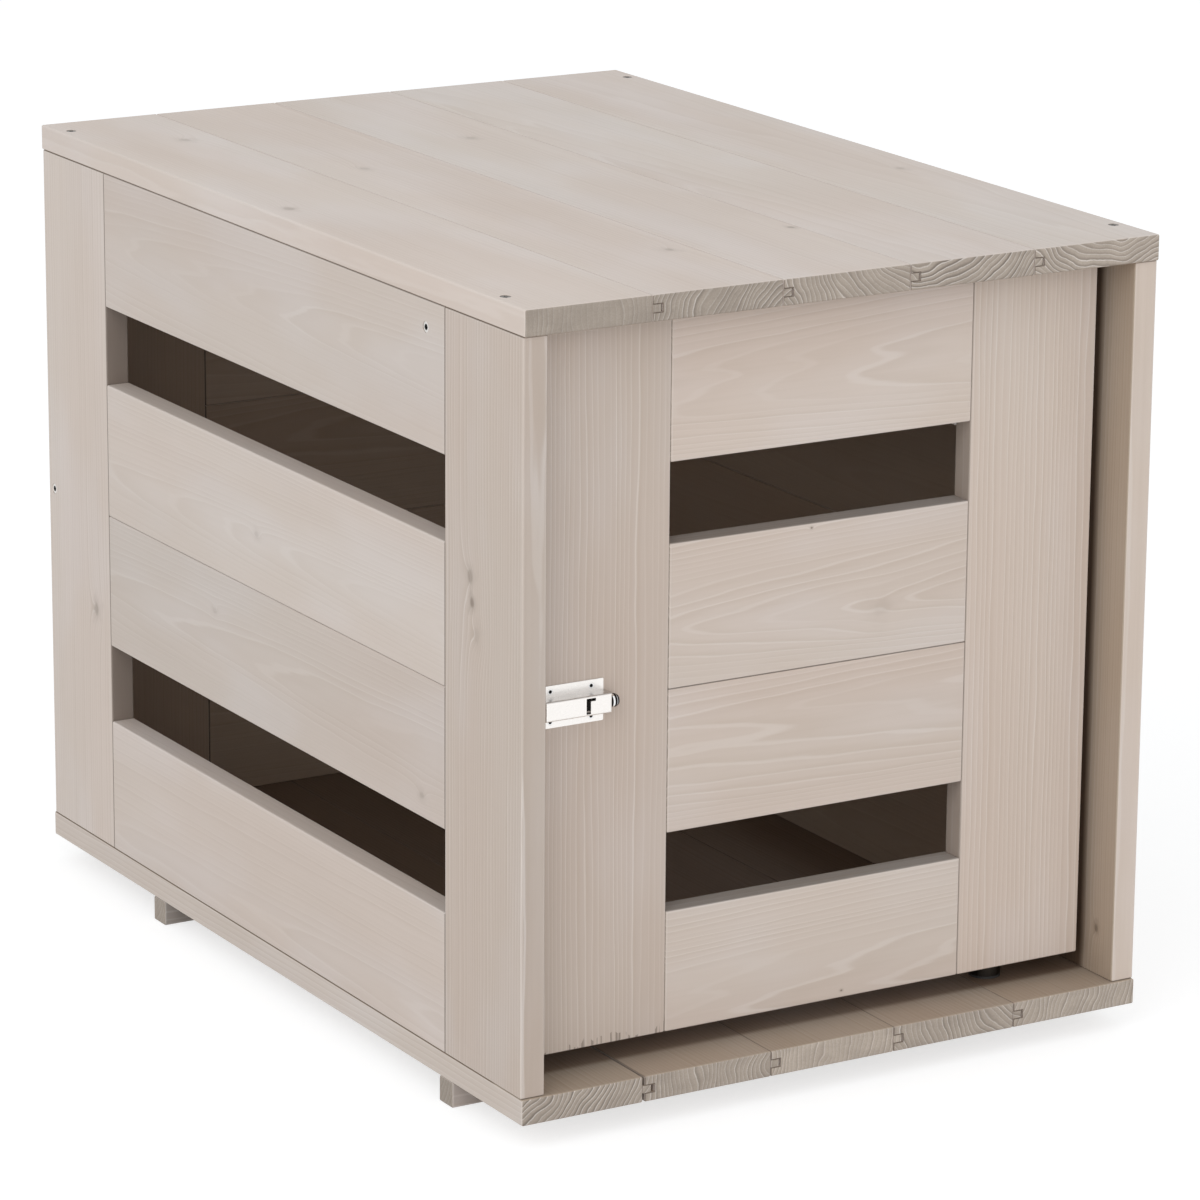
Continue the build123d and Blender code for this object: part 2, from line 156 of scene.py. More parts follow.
def ramp(tree, value, start, end, low=0.0, high=1.0):
    """A smooth step from low at start to high at end."""
    inputs = {"Value": value, "From Min": start, "From Max": end, "To Min": low, "To Max": high}
    return node(tree, "MapRange", inputs, interpolation_type="SMOOTHSTEP").outputs["Result"]


def mix(tree, factor, a, b, blend="MIX"):
    """A colour between a and b."""
    inputs = {"Factor": factor, 6: a, 7: b}
    return node(tree, "Mix", inputs, data_type="RGBA", blend_type=blend).outputs[2]


def toned(tree, colour, tone):
    """A colour times a tone."""
    return mix(tree, 1.0, colour, tone, "MULTIPLY")


def seen_directly(tree):
    """1 for what the camera, a mirror or glass sees, and 0 for the light on things."""
    ray = node(tree, "LightPath").outputs
    through_others = calc(tree, "MAXIMUM", ray["Is Glossy Ray"], ray["Is Transmission Ray"])
    return calc(tree, "MAXIMUM", ray["Is Camera Ray"], through_others)


def cloud(tree, place, stretch, seed, detail=2.0):
    """Noise from 0 to 1 that is stretched along the board."""
    scaled = vector(tree, "MULTIPLY", place, stretch)
    inputs = {"Vector": scaled, "W": seed, "Scale": 1.0, "Detail": detail}
    return node(tree, "TexNoise", inputs, noise_dimensions="4D").outputs[0]


# Shared effects


def make_board_place():
    """Where a point lies in its board (along, across and through it), and which way it faces."""
    tree, given, result = shader_group(
        "board_place",
        {
            "Middle": (0.0, 0.0, 0.0),
            "Lengthwise": SIDEWAYS,
            "Across": FRONT_TO_BACK,
            "Through": UPRIGHT,
        },
        {"Place": "Vector", "End": "Float", "Sideways": "Float", "Facing": "Float"},
    )
    coordinates = node(tree, "TexCoord").outputs
    offset = vector(tree, "SUBTRACT", coordinates["Object"], given["Middle"])
    ways = [given["Lengthwise"], given["Across"], given["Through"]]
    place = joined(tree, *(measure(tree, "DOT_PRODUCT", offset, way) for way in ways))
    along, sideways, facing = (
        measure(tree, "DOT_PRODUCT", coordinates["Normal"], way) for way in ways
    )
    tree.links.new(place, result["Place"])
    tree.links.new(ramp(tree, calc(tree, "ABSOLUTE", along), 0.5, 0.85), result["End"])
    tree.links.new(sideways, result["Sideways"])
    tree.links.new(facing, result["Facing"])
    return tree


def make_knot():
    """A knot through the board: how far it pushes the rings aside, and its dark stain."""
    tree, given, result = shader_group(
        "knot",
        {"Place": (0.0, 0.0, 0.0), "Middle": (0.0, 0.0, 0.0), "Size": 0.008, "Depth": 1.0},
        {"Swerve": "Float", "Stain": "Float"},
    )
    offset = vector(tree, "SUBTRACT", given["Place"], given["Middle"])
    flat = vector(tree, "MULTIPLY", offset, (0.75, 1.0, 0.0))
    wobble = cloud(tree, given["Place"], KNOT_EDGE, 4.0)
    reach = calc(tree, "DIVIDE", measure(tree, "LENGTH", flat), given["Size"])
    ragged = calc(tree, "MULTIPLY", reach, ramp(tree, wobble, 0.2, 0.8, 0.6, 1.5))
    spread = calc(tree, "ADD", calc(tree, "MULTIPLY", reach, reach), 1.2)
    swerve = calc(tree, "DIVIDE", given["Size"], calc(tree, "MULTIPLY", spread, 0.55))
    halo = ramp(tree, ragged, 1.7, 0.4, 0.0, 0.35)
    core = ramp(tree, ragged, 0.75, 0.25, 0.0, 0.65)
    tree.links.new(swerve, result["Swerve"])
    stain = calc(tree, "MULTIPLY", calc(tree, "ADD", halo, core), given["Depth"])
    tree.links.new(stain, result["Stain"])
    return tree


def make_pine_rings():
    """The growth rings of a sawn board, around a pith that lies beside or inside it."""
    tree, given, result = shader_group(
        "pine_rings",
        {
            "Place": (0.0, 0.0, 0.0),
            "Pith": (0.0, 0.0, -0.05),
            "Slope": 0.02,
            "Ring width": 0.0035,
            "Wander": 0.006,
            "Seed": 0.0,
            "Swerve": 0.0,
        },
        {"Late wood": "Float", "Wash line": "Float", "Fibre": "Float"},
    )
    place, seed = given["Place"], given["Seed"]
    broad = calc(tree, "SUBTRACT", cloud(tree, place, RING_SWAY, seed), 0.5)
    fine = calc(tree, "SUBTRACT", cloud(tree, place, RING_WOBBLE, seed), 0.5)
    from_pith = split(tree, vector(tree, "SUBTRACT", place, given["Pith"]))
    sway = calc(tree, "MULTIPLY", broad, given["Wander"])
    across = calc(tree, "ADD", from_pith[1], calc(tree, "ADD", sway, given["Swerve"]))
    lean = calc(tree, "MULTIPLY", from_pith[0], given["Slope"])
    through = calc(tree, "ADD", from_pith[2], calc(tree, "ADD", lean, sway))
    radius = measure(tree, "LENGTH", joined(tree, across, through))
    rings = calc(tree, "DIVIDE", radius, given["Ring width"])
    rings = calc(tree, "ADD", rings, calc(tree, "MULTIPLY", fine, 1.1))
    spacing = calc(tree, "SUBTRACT", cloud(tree, place, RING_SPACING, seed, 1.0), 0.5)
    rings = calc(tree, "ADD", rings, calc(tree, "MULTIPLY", spacing, 5.0))
    within = calc(tree, "FRACT", rings)
    late = calc(tree, "MULTIPLY", ramp(tree, within, 0.2, 0.72), ramp(tree, within, 0.86, 0.76))
    line = calc(tree, "MULTIPLY", ramp(tree, within, 0.74, 0.86), ramp(tree, within, 1.0, 0.92))
    year = calc(tree, "ADD", calc(tree, "FLOOR", rings), seed)
    strength = node(tree, "TexWhiteNoise", {"W": year}, noise_dimensions="1D").outputs["Value"]
    strength = ramp(tree, strength, 0.0, 1.0, 0.3, 1.0)
    tree.links.new(calc(tree, "MULTIPLY", late, strength), result["Late wood"])
    tree.links.new(calc(tree, "MULTIPLY", line, strength), result["Wash line"])
    tree.links.new(cloud(tree, place, FIBRES, seed, 1.0), result["Fibre"])
    return tree


def make_whitewash():
    """Thin greige wash over pine: its colour, with painted light and shade on its long edges and on
    the faces that look into the house, its roughness and its relief.
    """
    tree, given, result = shader_group(
        "whitewash",
        {
            "Place": (0.0, 0.0, 0.0),
            "Half size": (0.3, 0.06, 0.011),
            "Late wood": 0.0,
            "Wash line": 0.0,
            "Fibre": 0.5,
            "End": 0.0,
            "Sideways": 0.0,
            "Stain": 0.0,
            "Inside painted shade": 0.0,
            "Porch painted shade": WHITE,
            "Cabin painted shade": CABIN_PAINTED_SHADE,
            "Low edge painted light": 1.0,
            "High edge painted light": 1.0,
            "End tone": 1.0,
            "Groove": 0.0,
            "Low joints": (0.0, 0.0, 0.0),
            "High joints": (0.0, 0.0, 0.0),
            "Checks": 0.0,
            "Seed": 0.0,
            "Grain": 0.2,
            "End grain": 0.5,
            "Wash": WHITEWASH,
        },
        {"Color": "Color", "Roughness": "Float", "Height": "Float"},
    )
    place, seed = given["Place"], given["Seed"]
    broad = cloud(tree, place, THIN_WASH, seed, 3.0)
    thin_wash = ramp(tree, broad, 0.35, 0.75, 0.0, 0.10)
    streaks = ramp(tree, given["Fibre"], 0.35, 0.75, 0.0, 0.35)
    grain = calc(tree, "MULTIPLY", calc(tree, "ADD", given["Late wood"], streaks), given["Grain"])
    shows = calc(tree, "ADD", grain, thin_wash)
    face = mix(tree, shows, given["Wash"], BARE_PINE)
    lines = calc(tree, "MULTIPLY", given["Wash line"], calc(tree, "MULTIPLY", given["Grain"], 2.4))
    face = mix(tree, lines, face, WASH_LINE)
    drift = ramp(tree, cloud(tree, place, WARM_DRIFT, seed, 1.0), 0.3, 0.7)
    face = mix(tree, drift, face, toned(tree, face, WARM_TINT))
    other_seed = calc(tree, "ADD", seed, 70.0)
    patch = ramp(tree, cloud(tree, place, COOL_PATCHES, other_seed), 0.42, 0.68)
    face = mix(tree, patch, face, toned(tree, face, COOL_TINT))
    face = mix(tree, given["Stain"], face, KNOT_BROWN)

    # How far in from the board's own faces a point is, and so its lighter edges and its joints
    low_gap = vector(tree, "ADD", given["Half size"], place)
    high_gap = vector(tree, "SUBTRACT", given["Half size"], place)
    gap = split(tree, vector(tree, "MINIMUM", high_gap, low_gap))
    low_gap, high_gap = split(tree, low_gap), split(tree, high_gap)
    nearest = calc(tree, "MINIMUM", gap[0], gap[1])
    farther = calc(tree, "MAXIMUM", gap[0], gap[1])
    second = calc(tree, "MAXIMUM", nearest, calc(tree, "MINIMUM", farther, gap[2]))
    # Lighter along the board's edges
    lighter_edge = ramp(tree, second, *LIGHTER_EDGE)
    face = mix(tree, calc(tree, "MULTIPLY", lighter_edge, 0.3), face, WASH_LINE)
    joint = 0.0
    for near, label in ((low_gap, "Low joints"), (high_gap, "High joints")):
        strong = split(tree, given[label])
        for way in (0, 1):
            line = calc(tree, "MULTIPLY", ramp(tree, near[way], *JOINT_LINE), strong[way])
            joint = calc(tree, "MAXIMUM", line, joint)

    # Painted light and shade on the long edges by the way they face, and painted shade on the faces
    # that look into the house
    for label, start, end in (("Low edge painted light", -0.5, -0.85), ("High edge painted light", 0.5, 0.85)):
        painted_edge_factor = joined(tree, given[label], given[label], given[label])
        painted_edge_mask = ramp(tree, given["Sideways"], start, end)
        face = mix(tree, painted_edge_mask, face, toned(tree, face, painted_edge_factor))
    # Painted shade on the faces that look into the house: the porch shade in front of the door,
    # fading into the cabin shade behind it
    depth = split(tree, node(tree, "TexCoord").outputs["Object"])[1]
    in_cabin_shade = ramp(tree, depth, CABIN_SHADE_STARTS, CABIN_SHADE_FULL)
    painted_inside_shade = mix(tree, in_cabin_shade, given["Porch painted shade"], given["Cabin painted shade"])
    face = mix(tree, given["Inside painted shade"], face, toned(tree, face, painted_inside_shade))

    # End grain, with its pores and blotches
    late_strength = calc(tree, "MULTIPLY", given["End grain"], 0.75)
    late = calc(tree, "MULTIPLY", given["Late wood"], late_strength)
    ends = mix(tree, late, END_WASH, END_DARK)
    wash_line = calc(tree, "MULTIPLY", given["Wash line"], given["End grain"])
    ends = mix(tree, wash_line, ends, WASH_LINE)
    pores = ramp(tree, cloud(tree, place, END_PORES, seed, 1.0), 0.35, 0.7, 0.0, 0.18)
    ends = mix(tree, pores, ends, END_DARK)
    blotch = ramp(tree, cloud(tree, place, END_BLOTCHES, seed), 0.35, 0.7, 0.0, 0.22)
    ends = mix(tree, blotch, ends, END_DARK)
    end_tone = joined(tree, given["End tone"], given["End tone"], given["End tone"])
    ends = toned(tree, ends, end_tone)

    # The dark outline of the groove on a board's end
    off_middle = calc(tree, "ABSOLUTE", split(tree, place)[2])
    deep = calc(tree, "LESS_THAN", low_gap[1], GROOVE_DEPTH)
    level = calc(tree, "LESS_THAN", off_middle, GROOVE_HALF_HEIGHT)
    side_line = calc(tree, "LESS_THAN", low_gap[1], BOARD_SIDE_LINE)
    outline = calc(tree, "MAXIMUM", calc(tree, "MULTIPLY", deep, level), side_line)
    ends = mix(tree, calc(tree, "MULTIPLY", outline, given["Groove"]), ends, JOINT_DARK)

    # Short checks that run in from the low end
    crack = ramp(tree, cloud(tree, place, CHECK_LINES, seed, 0.0), 0.55, 0.62)
    reach = ramp(tree, cloud(tree, place, CHECK_ENDS, seed, 0.0), 0.35, 0.75, *CHECK_LENGTH)
    near_end = calc(tree, "LESS_THAN", low_gap[0], reach)
    check = calc(tree, "MULTIPLY", calc(tree, "MULTIPLY", crack, near_end), given["Checks"])

    colour = mix(tree, given["End"], face, ends)
    colour = mix(tree, calc(tree, "MAXIMUM", joint, check), colour, JOINT_DARK)
    tree.links.new(colour, result["Color"])
    bare = calc(tree, "ADD", shows, calc(tree, "MULTIPLY", broad, 0.3))
    rough = ramp(tree, bare, 0.0, 0.6, 0.52, 0.72)
    tree.links.new(rough, result["Roughness"])
    ridges = calc(tree, "MULTIPLY", given["Late wood"], 0.6)
    relief = calc(tree, "ADD", ridges, calc(tree, "MULTIPLY", given["Fibre"], 0.5))
    relief = calc(tree, "SUBTRACT", relief, calc(tree, "MULTIPLY", given["Stain"], 0.6))
    tree.links.new(relief, result["Height"])
    return tree


board_place = make_board_place()
knot = make_knot()
pine_rings = make_pine_rings()
whitewash = make_whitewash()


def finish_node(name, material):
    """Give a CAD node its material."""
    for holder in nodes[name].material_slots:
        holder.material = material


def new_material(name):
    """An empty node material; returns it, its tree and its Principled node."""
    material = bpy.data.materials.new(name)
    material.use_nodes = True
    return material, material.node_tree, material.node_tree.nodes["Principled BSDF"]


def pine_board(
    name, lengthwise, seed, pith=(0.03, -0.05), slope=0.02, ring=0.0036, wander=0.008,
    grain=0.22, end_grain=0.5, tone=1.0, warmth=0.0, knots=(), inside=0,
    porch_painted_shade=CABIN_PAINTED_SHADE, cabin_painted_shade=CABIN_PAINTED_SHADE, painted_edge_light=(1.0, 1.0), end_tone=1.0,
    low_joints=(0.0, 0.0), high_joints=(0.0, 0.0), groove=0.0, checks=0.0,
):
    """Whitewashed pine for one board, with its own rings, knots and tone.

    Pith is across and through the board from its middle.
    Knots are (along, across, size, depth) from its middle.
    Inside is 1 or -1 where the face on that side of the thickness looks into the house. That
    face takes the painted porch shade in front of the door and the painted cabin shade behind it.
    Painted edge light is painted light (above 1) and painted shade (below 1) on the low and the
    high long edge, and end tone is for the end grain.
    Joints are how dark the joint lines are, at the end and at the long edge of that side.
    Groove is how dark its outline is on the end grain, and checks how dark those at the low
    end are.
    """
    low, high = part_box(name)
    middle = (low + high) / 2
    half = (high - low) / 2
    ways = [SIDEWAYS, FRONT_TO_BACK, UPRIGHT]
    along = ways.index(lengthwise)
    rest = [axis for axis in range(3) if axis != along]
    through = min(rest, key=lambda axis: half[axis])
    across = rest[0] if rest[1] == through else rest[1]
    material, tree, principled = new_material(f"pine_{name}")
    place = placed(tree, board_place, {
        "Middle": tuple(middle),
        "Lengthwise": lengthwise,
        "Across": ways[across],
        "Through": ways[through],
    })
    swerve, stain = 0.0, 0.0
    for knot_along, knot_across, size, depth in knots:
        swirl = placed(tree, knot, {
            "Place": place["Place"],
            "Middle": (knot_along, knot_across, 0.0),
            "Size": size,
            "Depth": depth,
        })
        swerve = calc(tree, "ADD", swirl["Swerve"], swerve)
        stain = calc(tree, "ADD", swirl["Stain"], stain)
    rings = placed(tree, pine_rings, {
        "Place": place["Place"],
        "Pith": (0.0, pith[0], pith[1]),
        "Slope": slope,
        "Ring width": ring,
        "Wander": wander,
        "Seed": seed,
        "Swerve": swerve,
    })
    painted_shade_mask = 0.0
    if inside:
        painted_shade_mask = ramp(tree, calc(tree, "MULTIPLY", place["Facing"], float(inside)), 0.3, 0.8)
    warmed = (tone * (1 + warmth), tone, tone * (1 - warmth))
    surface = placed(tree, whitewash, {
        "Place": place["Place"],
        "Half size": (half[along], half[across], half[through]),
        "Late wood": rings["Late wood"],
        "Wash line": rings["Wash line"],
        "Fibre": rings["Fibre"],
        "End": place["End"],
        "Sideways": place["Sideways"],
        "Stain": stain,
        "Inside painted shade": painted_shade_mask,
        "Porch painted shade": porch_painted_shade,
        "Cabin painted shade": cabin_painted_shade,
        "Low edge painted light": painted_edge_light[0],
        "High edge painted light": painted_edge_light[1],
        "End tone": end_tone,
        "Groove": groove,
        "Low joints": (*low_joints, 0.0),
        "High joints": (*high_joints, 0.0),
        "Checks": checks,
        "Seed": seed,
        "Grain": grain,
        "End grain": end_grain,
        "Wash": tuple(a * b for a, b in zip(WHITEWASH, warmed)) + (1.0,),
    })
    relief = node(tree, "Bump", {"Strength": 0.35, "Distance": 0.0004, "Height": surface["Height"]})
    tree.links.new(surface["Color"], principled.inputs["Base Color"])
    tree.links.new(surface["Roughness"], principled.inputs["Roughness"])
    tree.links.new(relief.outputs[0], principled.inputs["Normal"])
    principled.inputs["Specular IOR Level"].default_value = 0.35
    finish_node(name, material)


# Boards

draw = random.Random(7)

roof_piths = [(-0.12, 0.01), (0.091, -0.05), (0.077, 0.054), (-0.045, 0.08), (0.013, 0.085)]
roof_end_grain = [0.3, 0.8, 0.75, 1.4, 0.9]
roof_end_tones = [0.82, 0.84, 0.92, 0.92, 1.0]
roof_knots = {
    1: [(-0.004, -0.040, 0.007, 0.4), (0.31, 0.02, 0.009, 0.3)],
    2: [(-0.297, 0.036, 0.007, 0.4), (0.12, -0.02, 0.008, 0.3)],
    3: [(-0.269, 0.050, 0.005, 0.6), (0.2, 0.01, 0.008, 0.3)],
    5: [(-0.1, 0.03, 0.007, 0.3)],
}
for number in range(1, 6):
    pine_board(
        f"roof_board_{number}", FRONT_TO_BACK, draw.uniform(0, 50), pith=roof_piths[number - 1],
        slope=draw.uniform(-0.03, 0.03), ring=0.0044, grain=0.08,
        end_grain=roof_end_grain[number - 1], end_tone=roof_end_tones[number - 1],
        tone=draw.uniform(1.05, 1.10), knots=roof_knots.get(number, ()), inside=-1,
        low_joints=(0.0, 0.22 if number > 1 else 0.0), groove=0.9 if number > 1 else 0.0,
    )

base_piths = [(-0.105, 0.057), (0.067, 0.0), (-0.14, 0.0), (0.081, 0.055), (-0.15, 0.06)]
base_end_grain = [1.3, 0.7, 0.55, 0.85, 0.7]
base_end_tones = [0.91, 0.92, 1.08, 0.92, 1.01]
for number in range(1, 6):
    pine_board(
        f"base_board_{number}", FRONT_TO_BACK, draw.uniform(0, 50), pith=base_piths[number - 1],
        slope=draw.uniform(-0.03, 0.03), ring=0.0044, grain=0.16,
        end_grain=base_end_grain[number - 1], end_tone=base_end_tones[number - 1],
        tone=draw.uniform(0.95, 1.0), inside=1, porch_painted_shade=DECK_PAINTED_SHADE, cabin_painted_shade=CABIN_DECK_PAINTED_SHADE,
        low_joints=(0.0, 0.6 if number > 1 else 0.0), groove=0.9 if number > 1 else 0.0,
    )

# How light each post and board of the left wall is
left_tones = {
    "front": 0.88, "back": 1.06,
    "bottom": 1.03, "lower_middle": 0.95, "upper_middle": 1.03, "top": 0.98,
}
wall_knots = {
    "left_wall_front_post": [
        (0.101, 0.021, 0.008, 0.5), (0.081, 0.018, 0.006, 0.75), (0.055, 0.01, 0.009, 0.2),
    ],
    "left_wall_back_post": [(-0.093, -0.034, 0.009, 0.5)],
    "left_wall_lower_middle_board": [(-0.272, -0.045, 0.006, 0.35), (0.1, 0.02, 0.005, 0.2)],
    "left_wall_upper_middle_board": [(0.02, -0.01, 0.006, 0.2)],
    "right_wall_front_post": [(-0.271, -0.038, 0.005, 0.7)],
}
# Painted light and shade on the posts' low long edges: painted shade on the left front post,
# painted light on the back posts
post_painted_edge_light = {
    ("left", "front"): 0.91, ("left", "back"): 1.3,
    ("right", "front"): 1.0, ("right", "back"): 1.3,
}
for side, inside in (("left", 1), ("right", -1)):
    for corner in ("front", "back"):
        name = f"{side}_wall_{corner}_post"
        pine_board(
            name, UPRIGHT, draw.uniform(0, 50), pith=(0.16, 0.03), slope=0.006,
            ring=0.0042, wander=0.004, grain=0.20,
            tone=left_tones[corner] if side == "left" else 1.02,
            warmth=0.03 if corner == "front" else 0.0, knots=wall_knots.get(name, ()),
            inside=inside, porch_painted_shade=REVEAL_PAINTED_SHADE,
            cabin_painted_shade=DOOR_GAP_PAINTED_SHADE if corner == "front" else CABIN_PAINTED_SHADE,
            painted_edge_light=(post_painted_edge_light[side, corner], 1.0),
            low_joints=(0.7, 0.8 if corner == "back" else 0.0),
            high_joints=(0.7, 0.8 if corner == "front" else 0.0),
        )
    for level in ("bottom", "lower_middle", "upper_middle", "top"):
        name = f"{side}_wall_{level}_board"
        low_edge = {"bottom": 0.7, "upper_middle": 0.45}.get(level, 0.0)
        high_edge = {"top": 0.7, "lower_middle": 0.45}.get(level, 0.0)
        pine_board(
            name, FRONT_TO_BACK, draw.uniform(0, 50),
            pith=(draw.uniform(-0.04, 0.04), draw.uniform(-0.05, -0.03)),
            slope=draw.uniform(0.01, 0.04), grain=0.08,
            tone=left_tones[level] if side == "left" else draw.uniform(0.98, 1.03),
            knots=wall_knots.get(name, ()), inside=inside,
            low_joints=(0.8, low_edge), high_joints=(0.8, high_edge),
        )

for side in ("left", "right"):
    pine_board(
        f"back_wall_{side}_post", UPRIGHT, draw.uniform(0, 50), pith=(0.14, 0.03), slope=0.006,
        wander=0.004, grain=0.22, inside=-1, low_joints=(0.7, 0.8), high_joints=(0.7, 0.8),
    )
for number in range(1, 6):
    pine_board(
        f"back_wall_board_{number}", SIDEWAYS, draw.uniform(0, 50),
        pith=(draw.uniform(-0.04, 0.04), draw.uniform(0.03, 0.05)), slope=draw.uniform(0.01, 0.05),
        grain=0.16, tone=draw.uniform(0.97, 1.03), inside=-1,
        low_joints=(0.8, 0.45), high_joints=(0.8, 0.45),
    )

door_tones = {
    "left": 0.87, "right": 0.985,
    "bottom": 0.99, "lower_middle": 0.98, "upper_middle": 0.98, "top": 1.02,
}
door_knots = {
    "upper_middle": [(-0.0095, 0.0567, 0.0016, 0.9), (0.06, -0.02, 0.012, 0.12)],
    "bottom": [(0.028, -0.0456, 0.0016, 0.9)],
}
# Painted light on the right stile's low edge
for side in ("left", "right"):
    pine_board(
        f"door_{side}_stile", UPRIGHT, draw.uniform(0, 50), pith=(0.15, 0.05), slope=0.008,
        ring=0.0048, wander=0.005, grain=0.20, tone=door_tones[side], warmth=0.03, inside=1,
        painted_edge_light=(1.15 if side == "right" else 1.0, 1.0),
        low_joints=(0.0, 0.5 if side == "right" else 0.0), checks=0.55 if side == "left" else 0.0,
    )
# Painted shade on the door boards' high edges, the lips of the slots
for level in ("bottom", "lower_middle", "upper_middle", "top"):
    low_edge = 0.5 if level == "upper_middle" else 0.0
    high_edge = 0.5 if level == "lower_middle" else 0.0
    pine_board(
        f"door_{level}_board", SIDEWAYS, draw.uniform(0, 50),
        pith=(draw.uniform(-0.05, 0.05), draw.uniform(0.04, 0.06)), slope=draw.uniform(0.02, 0.05),
        grain=0.14, tone=door_tones[level], warmth=0.015, knots=door_knots.get(level, ()),
        inside=1, painted_edge_light=(1.0, 0.56), low_joints=(0.0, low_edge), high_joints=(0.0, high_edge),
    )

# Painted shade for the pieces under the floor and the roof: how light their faces and their ends
# are
under_painted_shade = {"front_foot": (0.79, 0.80), "back_foot": (0.55, 0.84), "roof_batten": (0.85, 1.0)}
for name, (tone, end_tone) in under_painted_shade.items():
    pine_board(
        name, SIDEWAYS, draw.uniform(0, 50), pith=(0.02, 0.03), grain=0.2,
        tone=tone, end_tone=end_tone,
    )


# Metal and small parts


def metal(name, colour, roughness, brushed, metallic=1.0):
    """A metal, or another hard material, with faint brushing in its roughness and relief."""
    material, tree, principled = new_material(name)
    coordinates = node(tree, "TexCoord").outputs["Object"]
    streaks = cloud(tree, coordinates, BRUSHING, 2.0)
    blur = ramp(tree, streaks, 0.2, 0.8, roughness * (1 - brushed), roughness * (1 + brushed))
    darker = tuple(0.8 * channel for channel in colour[:3]) + (1.0,)
    shade = mix(tree, ramp(tree, streaks, 0.3, 0.8, 0.0, 0.5 * brushed), colour, darker)
    tree.links.new(shade, principled.inputs["Base Color"])
    tree.links.new(blur, principled.inputs["Roughness"])
    principled.inputs["Metallic"].default_value = metallic
    relief = node(tree, "Bump", {"Strength": 0.15, "Distance": 0.00005, "Height": streaks})
    tree.links.new(relief.outputs[0], principled.inputs["Normal"])
    return material


def make_latch_zinc():
    """Bright zinc plate, with a painted darker reflection where it faces up."""
    material = metal("latch_zinc", ZINC, roughness=0.32, brushed=0.25)
    tree = material.node_tree
    principled = tree.nodes["Principled BSDF"]
    shade = principled.inputs["Base Color"].links[0].from_socket
    # Painted darker reflection on the faces that look up
    facing_up = split(tree, node(tree, "TexCoord").outputs["Normal"])[2]
    painted_top_mask = ramp(tree, facing_up, 0.4, 0.95)
    tree.links.new(mix(tree, painted_top_mask, shade, ZINC_PAINTED_DARK_TOP), principled.inputs["Base Color"])
    return material


def make_bolt_chrome():
    """Polished bolt: painted dark, for the shade in its housing and the dark reflections on its
    end, with the bands of light that a studio leaves on its end painted on.

    The neck is a painted light ring just past the housing. The crescent and the glint are painted
    highlights on the round tip. The nose is the length that the bolt shows on its other side when
    it is drawn back.
    """
    material = metal("bolt_chrome", CHROME_LIGHT, roughness=0.1, brushed=0.1)
    tree = material.node_tree
    principled = tree.nodes["Principled BSDF"]
    coordinates = node(tree, "TexCoord").outputs
    sideways = split(tree, coordinates["Object"])[0]
    housing_start, housing_end = (corner[0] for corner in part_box("latch_housing"))
    past = calc(tree, "SUBTRACT", sideways, housing_end)
    nose = calc(tree, "LESS_THAN", sideways, housing_start)
    # Painted highlights: a light ring on the neck, a crescent and a glint on the tip; the rest
    # takes the painted dark reflection and shade
    tip = split(tree, coordinates["Normal"])[0]
    neck_starts, neck_ends = ramp(tree, past, 0.0014, 0.0020), ramp(tree, past, 0.0036, 0.0030)
    neck = calc(tree, "MULTIPLY", neck_starts, neck_ends)
    crescent = ramp(tree, tip, 0.52, 0.68)
    glint = calc(tree, "MULTIPLY", ramp(tree, tip, 0.12, 0.2), ramp(tree, tip, 0.32, 0.24))
    painted_tip_light = calc(tree, "MAXIMUM", crescent, calc(tree, "MULTIPLY", glint, 0.5))
    painted_light = calc(tree, "MAXIMUM", calc(tree, "MAXIMUM", neck, painted_tip_light), nose)
    tree.links.new(mix(tree, painted_light, CHROME_PAINTED_DARK, CHROME_LIGHT), principled.inputs["Base Color"])
    return material


def screw_heads(name, node_name, flat, head, bright, core, every_corner):
    """Screws whose head has a bright rim around a dark middle, which is painted shade for the
    recess in the head.

    Flat is the two axes that the heads lie in, head is their width and core the radius of the
    dark middle. The heads sit in all four corners of the node's box, or in two.
    """
    blur = 0.0003
    material = metal(name, bright, roughness=0.35, brushed=0.2)
    tree = material.node_tree
    principled = tree.nodes["Principled BSDF"]
    low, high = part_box(node_name)
    coordinates = split(tree, node(tree, "TexCoord").outputs["Object"])
    corners = [(0, 1), (1, 0)]
    if every_corner:
        corners += [(0, 0), (1, 1)]
    radius = head / 2
    nearest = 1.0
    for corner in corners:
        offsets = []
        for axis, side in zip(flat, corner):
            middle = high[axis] - radius if side else low[axis] + radius
            offsets.append(calc(tree, "SUBTRACT", coordinates[axis], middle))
        away = measure(tree, "LENGTH", joined(tree, *offsets))
        nearest = calc(tree, "MINIMUM", away, nearest)
    painted_recess_shade = ramp(tree, nearest, core + blur, core - blur)
    tree.links.new(mix(tree, painted_recess_shade, bright, CHROME_PAINTED_DARK), principled.inputs["Base Color"])
    return material


screw_steel = metal("screw_steel", SCREW_STEEL, roughness=0.4, brushed=0.2)
black_shaft = metal("shaft_black", SHAFT_BLACK, roughness=0.35, brushed=0.2)
black_bush = metal("bush_black", BUSH_BLACK, roughness=0.5, brushed=0.1, metallic=0.0)
beech = metal("dowel_beech", BEECH, roughness=0.6, brushed=0.2, metallic=0.0)
latch_zinc = make_latch_zinc()

